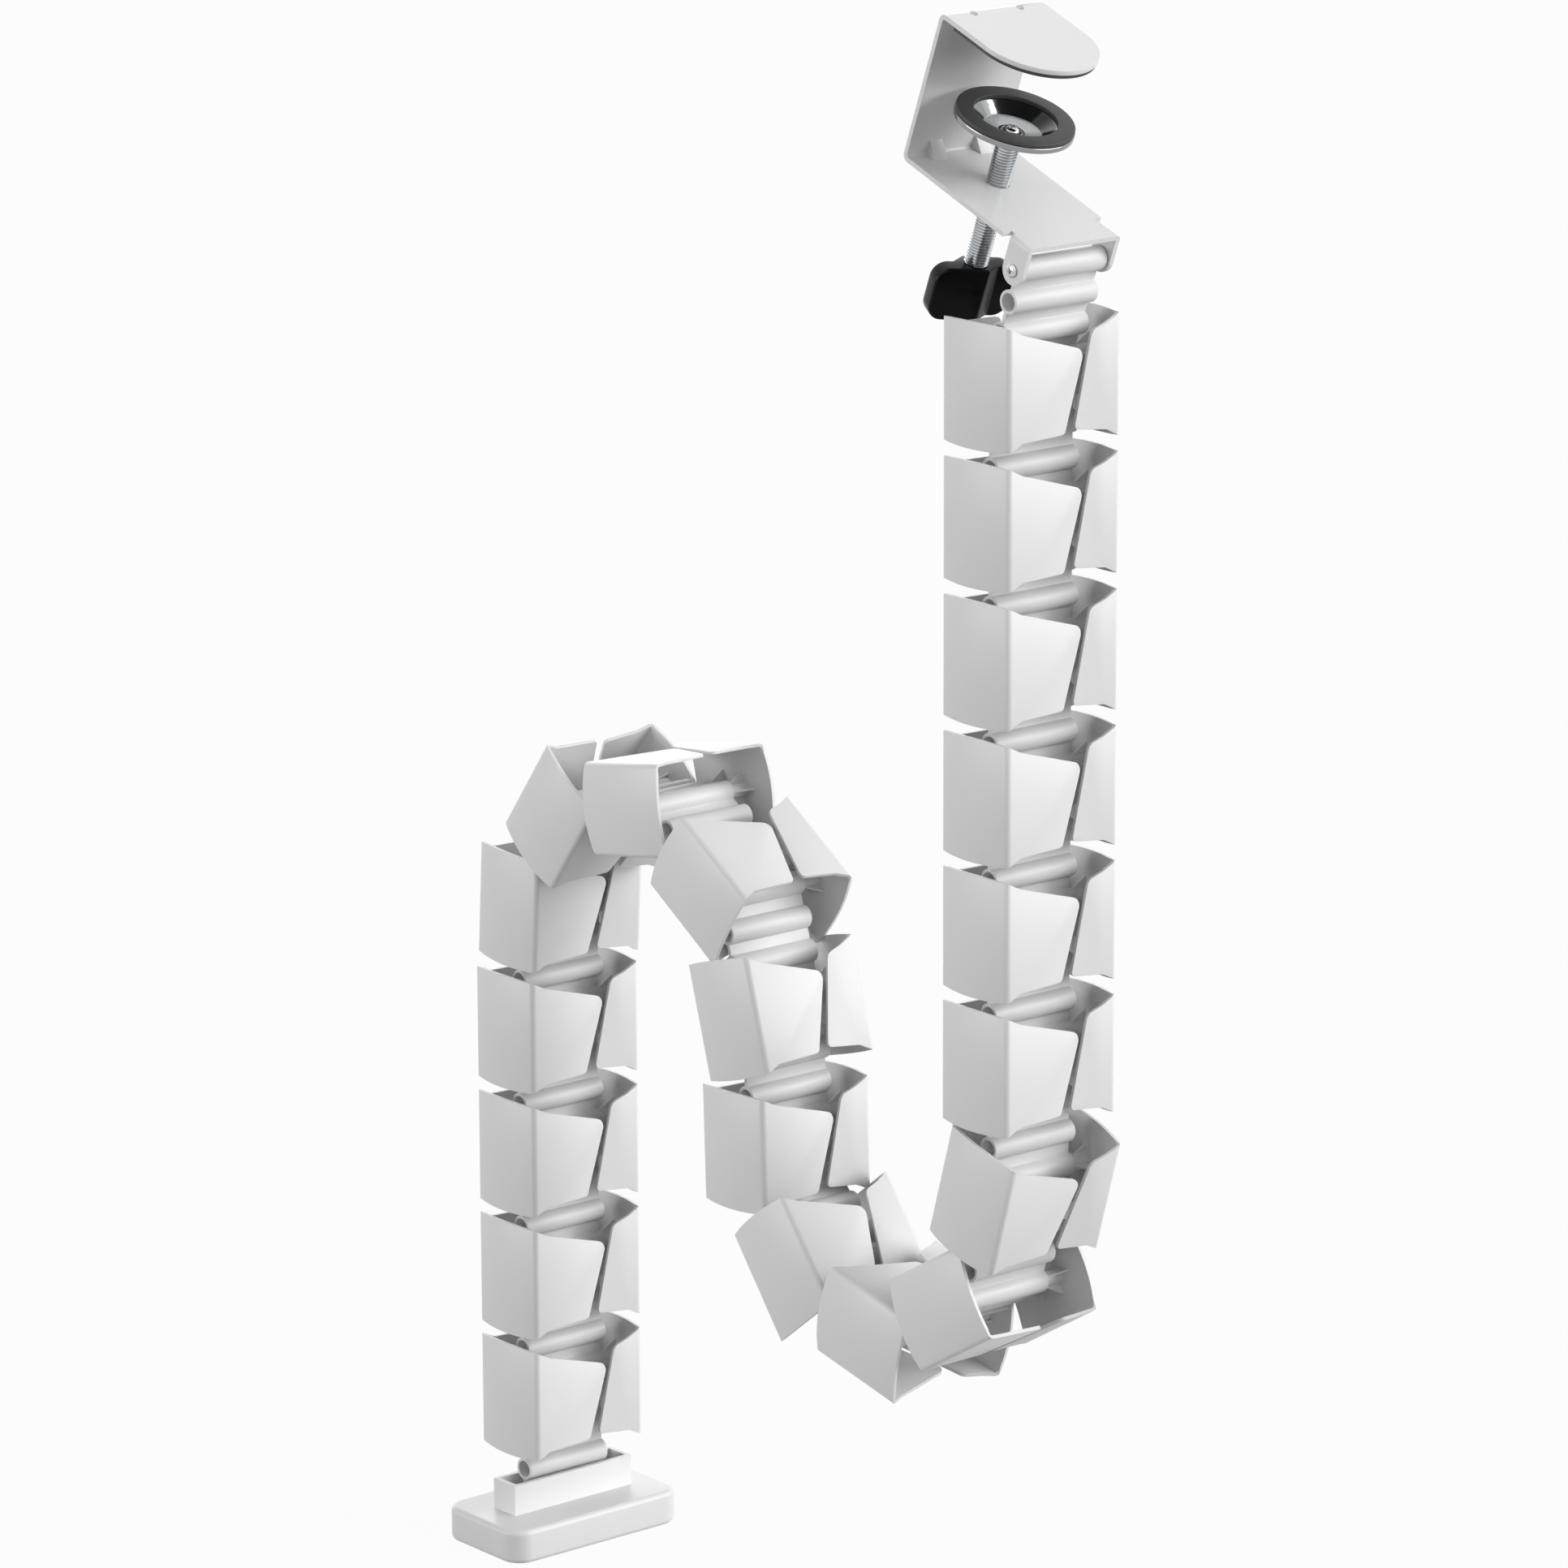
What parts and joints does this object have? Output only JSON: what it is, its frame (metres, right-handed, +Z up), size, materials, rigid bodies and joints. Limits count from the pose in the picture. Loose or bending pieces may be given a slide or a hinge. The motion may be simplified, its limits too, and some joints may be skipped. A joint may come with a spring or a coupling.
{
  "type": "cable spine",
  "caption": "Hanging cable spine: a desk edge clamp, a chain of hollow pivoting vertebrae on four-tube links, and a rectangular floor foot.",
  "frame": {"origin": "middle of the foot's sole, on the floor", "axes": "+Z up, +X along every pivot axis, -Y towards the front of the clamp's jaw"},
  "size_m": [0.094, 0.3629, 0.7115],
  "materials": {
    "white_plastic": "satin moulded",
    "painted_steel": "fine satin paint",
    "dark_rubber": "matte",
    "bright_zinc": "bright zinc plated",
    "black_plastic": "gloss moulded"
  },
  "bodies": {
    "clamp": {"clamp_bracket": "painted_steel", "jaw_pad": "dark_rubber", "ear_bushes": "white_plastic", "ear_screws": "bright_zinc"},
    "pressure_foot": {"pressure_plate": "bright_zinc", "pressure_ring": "dark_rubber"},
    "spindle": {"clamp_spindle": "bright_zinc", "clamp_knob": "black_plastic", "plate_screw": "bright_zinc"},
    "link_00": {"link_00": "white_plastic"},
    "vertebra_01": {"vertebra_01": "white_plastic"},
    "link_01": {"link_01": "white_plastic"},
    "vertebra_02": {"vertebra_02": "white_plastic"},
    "link_02": {"link_02": "white_plastic"},
    "vertebra_03": {"vertebra_03": "white_plastic"},
    "link_03": {"link_03": "white_plastic"},
    "vertebra_04": {"vertebra_04": "white_plastic"},
    "link_04": {"link_04": "white_plastic"},
    "vertebra_05": {"vertebra_05": "white_plastic"},
    "link_05": {"link_05": "white_plastic"},
    "vertebra_06": {"vertebra_06": "white_plastic"},
    "link_06": {"link_06": "white_plastic"},
    "vertebra_07": {"vertebra_07": "white_plastic"},
    "link_07": {"link_07": "white_plastic"},
    "vertebra_08": {"vertebra_08": "white_plastic"},
    "link_08": {"link_08": "white_plastic"},
    "vertebra_09": {"vertebra_09": "white_plastic"},
    "link_09": {"link_09": "white_plastic"},
    "vertebra_10": {"vertebra_10": "white_plastic"},
    "link_10": {"link_10": "white_plastic"},
    "vertebra_11": {"vertebra_11": "white_plastic"},
    "link_11": {"link_11": "white_plastic"},
    "vertebra_12": {"vertebra_12": "white_plastic"},
    "link_12": {"link_12": "white_plastic"},
    "vertebra_13": {"vertebra_13": "white_plastic"},
    "link_13": {"link_13": "white_plastic"},
    "vertebra_14": {"vertebra_14": "white_plastic"},
    "link_14": {"link_14": "white_plastic"},
    "vertebra_15": {"vertebra_15": "white_plastic"},
    "link_15": {"link_15": "white_plastic"},
    "vertebra_16": {"vertebra_16": "white_plastic"},
    "link_16": {"link_16": "white_plastic"},
    "vertebra_17": {"vertebra_17": "white_plastic"},
    "link_17": {"link_17": "white_plastic"},
    "vertebra_18": {"vertebra_18": "white_plastic"},
    "link_18": {"link_18": "white_plastic"},
    "vertebra_19": {"vertebra_19": "white_plastic"},
    "link_19": {"link_19": "white_plastic"},
    "vertebra_20": {"vertebra_20": "white_plastic"},
    "link_20": {"link_20": "white_plastic"},
    "foot": {"foot": "white_plastic"}
  },
  "joints": [
    {"name": "jaw_slide", "type": "slide", "parent": "clamp", "child": "pressure_foot", "axis": [0, -0.3584, 0.9336], "range_m": [-0.02, 0.0294]},
    {"name": "knob_turn", "type": "hinge", "parent": "pressure_foot", "child": "spindle", "pos_m": [0, -0.28535, 0.63099], "axis": [0, -0.3584, 0.9336], "range_deg": [-5765, 8470]},
    {"name": "ear_pivot", "type": "hinge", "parent": "clamp", "child": "link_00", "pos_m": [0, -0.32605, 0.61536], "axis": [-1, 0, 0], "range_deg": [-6, 45]},
    {"name": "upper_pivot_01", "type": "hinge", "parent": "link_00", "child": "vertebra_01", "pos_m": [0, -0.31036, 0.57447], "axis": [1, 0, 0], "range_deg": [-23.5, 65.5]},
    {"name": "lower_pivot_01", "type": "hinge", "parent": "vertebra_01", "child": "link_01", "pos_m": [0, -0.31036, 0.56227], "axis": [-1, 0, 0], "range_deg": [-10, 10]},
    {"name": "upper_pivot_02", "type": "hinge", "parent": "link_01", "child": "vertebra_02", "pos_m": [0, -0.31036, 0.51847], "axis": [-1, 0, 0], "range_deg": [-44.5, 44.5]},
    {"name": "lower_pivot_02", "type": "hinge", "parent": "vertebra_02", "child": "link_02", "pos_m": [0, -0.31036, 0.50627], "axis": [1, 0, 0], "range_deg": [-10, 10]},
    {"name": "upper_pivot_03", "type": "hinge", "parent": "link_02", "child": "vertebra_03", "pos_m": [0, -0.31036, 0.46247], "axis": [1, 0, 0], "range_deg": [-44.5, 44.5]},
    {"name": "lower_pivot_03", "type": "hinge", "parent": "vertebra_03", "child": "link_03", "pos_m": [0, -0.31036, 0.45027], "axis": [-1, 0, 0], "range_deg": [-10, 10]},
    {"name": "upper_pivot_04", "type": "hinge", "parent": "link_03", "child": "vertebra_04", "pos_m": [0, -0.31036, 0.40647], "axis": [-1, 0, 0], "range_deg": [-44.5, 44.5]},
    {"name": "lower_pivot_04", "type": "hinge", "parent": "vertebra_04", "child": "link_04", "pos_m": [0, -0.31036, 0.39427], "axis": [1, 0, 0], "range_deg": [-10, 10]},
    {"name": "upper_pivot_05", "type": "hinge", "parent": "link_04", "child": "vertebra_05", "pos_m": [0, -0.31036, 0.35047], "axis": [1, 0, 0], "range_deg": [-44.5, 44.5]},
    {"name": "lower_pivot_05", "type": "hinge", "parent": "vertebra_05", "child": "link_05", "pos_m": [0, -0.31036, 0.33827], "axis": [-1, 0, 0], "range_deg": [-10, 10]},
    {"name": "upper_pivot_06", "type": "hinge", "parent": "link_05", "child": "vertebra_06", "pos_m": [0, -0.31036, 0.29447], "axis": [-1, 0, 0], "range_deg": [-44.5, 44.5]},
    {"name": "lower_pivot_06", "type": "hinge", "parent": "vertebra_06", "child": "link_06", "pos_m": [0, -0.31036, 0.28227], "axis": [1, 0, 0], "range_deg": [-10, 4]},
    {"name": "upper_pivot_07", "type": "hinge", "parent": "link_06", "child": "vertebra_07", "pos_m": [0, -0.31036, 0.23847], "axis": [1, 0, 0], "range_deg": [-61, 28]},
    {"name": "lower_pivot_07", "type": "hinge", "parent": "vertebra_07", "child": "link_07", "pos_m": [0, -0.30689, 0.22678], "axis": [-1, 0, 0], "range_deg": [-10, 2]},
    {"name": "upper_pivot_08", "type": "hinge", "parent": "link_07", "child": "vertebra_08", "pos_m": [0, -0.29445, 0.18478], "axis": [-1, 0, 0], "range_deg": [-1.5, 87.5]},
    {"name": "lower_pivot_08", "type": "hinge", "parent": "vertebra_08", "child": "link_08", "pos_m": [0, -0.28394, 0.17859], "axis": [1, 0, 0], "range_deg": [-2, 10]},
    {"name": "upper_pivot_09", "type": "hinge", "parent": "link_08", "child": "vertebra_09", "pos_m": [0, -0.2462, 0.15636], "axis": [1, 0, 0], "range_deg": [-87.5, 1.5]},
    {"name": "lower_pivot_09", "type": "hinge", "parent": "vertebra_09", "child": "link_09", "pos_m": [0, -0.23429, 0.159], "axis": [-1, 0, 0], "range_deg": [-5, 4]},
    {"name": "upper_pivot_10", "type": "hinge", "parent": "link_09", "child": "vertebra_10", "pos_m": [0, -0.19153, 0.16848], "axis": [-1, 0, 0], "range_deg": [-5, 84]},
    {"name": "lower_pivot_10", "type": "hinge", "parent": "vertebra_10", "child": "link_10", "pos_m": [0, -0.18402, 0.17809], "axis": [1, 0, 0], "range_deg": [-8, 2]},
    {"name": "upper_pivot_11", "type": "hinge", "parent": "link_10", "child": "vertebra_11", "pos_m": [0, -0.15705, 0.21261], "axis": [1, 0, 0], "range_deg": [-80.5, 8.5]},
    {"name": "lower_pivot_11", "type": "hinge", "parent": "vertebra_11", "child": "link_11", "pos_m": [0, -0.15662, 0.2248], "axis": [-1, 0, 0], "range_deg": [-10, 6]},
    {"name": "upper_pivot_12", "type": "hinge", "parent": "link_11", "child": "vertebra_12", "pos_m": [0, -0.1551, 0.26857], "axis": [-1, 0, 0], "range_deg": [-59, 30]},
    {"name": "lower_pivot_12", "type": "hinge", "parent": "vertebra_12", "child": "link_12", "pos_m": [0, -0.15163, 0.28027], "axis": [1, 0, 0], "range_deg": [-7, 2]},
    {"name": "upper_pivot_13", "type": "hinge", "parent": "link_12", "child": "vertebra_13", "pos_m": [0, -0.13919, 0.32227], "axis": [1, 0, 0], "range_deg": [-3.5, 85.5]},
    {"name": "lower_pivot_13", "type": "hinge", "parent": "vertebra_13", "child": "link_13", "pos_m": [0, -0.1289, 0.32882], "axis": [-1, 0, 0], "range_deg": [-2, 8]},
    {"name": "upper_pivot_14", "type": "hinge", "parent": "link_13", "child": "vertebra_14", "pos_m": [0, -0.09196, 0.35235], "axis": [-1, 0, 0], "range_deg": [-86.5, 2.5]},
    {"name": "lower_pivot_14", "type": "hinge", "parent": "vertebra_14", "child": "link_14", "pos_m": [0, -0.07993, 0.35034], "axis": [1, 0, 0], "range_deg": [-10, 2]},
    {"name": "upper_pivot_15", "type": "hinge", "parent": "link_14", "child": "vertebra_15", "pos_m": [0, -0.03673, 0.34311], "axis": [1, 0, 0], "range_deg": [-0.5, 88.5]},
    {"name": "lower_pivot_15", "type": "hinge", "parent": "vertebra_15", "child": "link_15", "pos_m": [0, -0.02947, 0.3333], "axis": [-1, 0, 0], "range_deg": [-10, 2]},
    {"name": "upper_pivot_16", "type": "hinge", "parent": "link_15", "child": "vertebra_16", "pos_m": [0, -0.00342, 0.2981], "axis": [-1, 0, 0], "range_deg": [-77.5, 11.5]},
    {"name": "lower_pivot_16", "type": "hinge", "parent": "vertebra_16", "child": "link_16", "pos_m": [0, -0.00267, 0.28592], "axis": [1, 0, 0], "range_deg": [-10, 10]},
    {"name": "upper_pivot_17", "type": "hinge", "parent": "link_16", "child": "vertebra_17", "pos_m": [0, 0, 0.2422], "axis": [1, 0, 0], "range_deg": [-41, 48]},
    {"name": "lower_pivot_17", "type": "hinge", "parent": "vertebra_17", "child": "link_17", "pos_m": [0, 0, 0.23], "axis": [-1, 0, 0], "range_deg": [-10, 10]},
    {"name": "upper_pivot_18", "type": "hinge", "parent": "link_17", "child": "vertebra_18", "pos_m": [0, 0, 0.1862], "axis": [-1, 0, 0], "range_deg": [-44.5, 44.5]},
    {"name": "lower_pivot_18", "type": "hinge", "parent": "vertebra_18", "child": "link_18", "pos_m": [0, 0, 0.174], "axis": [1, 0, 0], "range_deg": [-10, 10]},
    {"name": "upper_pivot_19", "type": "hinge", "parent": "link_18", "child": "vertebra_19", "pos_m": [0, 0, 0.1302], "axis": [1, 0, 0], "range_deg": [-44.5, 44.5]},
    {"name": "lower_pivot_19", "type": "hinge", "parent": "vertebra_19", "child": "link_19", "pos_m": [0, 0, 0.118], "axis": [-1, 0, 0], "range_deg": [-10, 10]},
    {"name": "upper_pivot_20", "type": "hinge", "parent": "link_19", "child": "vertebra_20", "pos_m": [0, 0, 0.0742], "axis": [-1, 0, 0], "range_deg": [-44.5, 44.5]},
    {"name": "lower_pivot_20", "type": "hinge", "parent": "vertebra_20", "child": "link_20", "pos_m": [0, 0, 0.062], "axis": [1, 0, 0], "range_deg": [-10, 10]},
    {"name": "foot_pivot", "type": "hinge", "parent": "link_20", "child": "foot", "pos_m": [0, 0, 0.0182], "axis": [1, 0, 0], "range_deg": [-6, 6]}
  ],
  "couplings": [
    {"joint": "knob_turn", "follows": "jaw_slide", "rad_per_m": 5026.5}
  ]
}
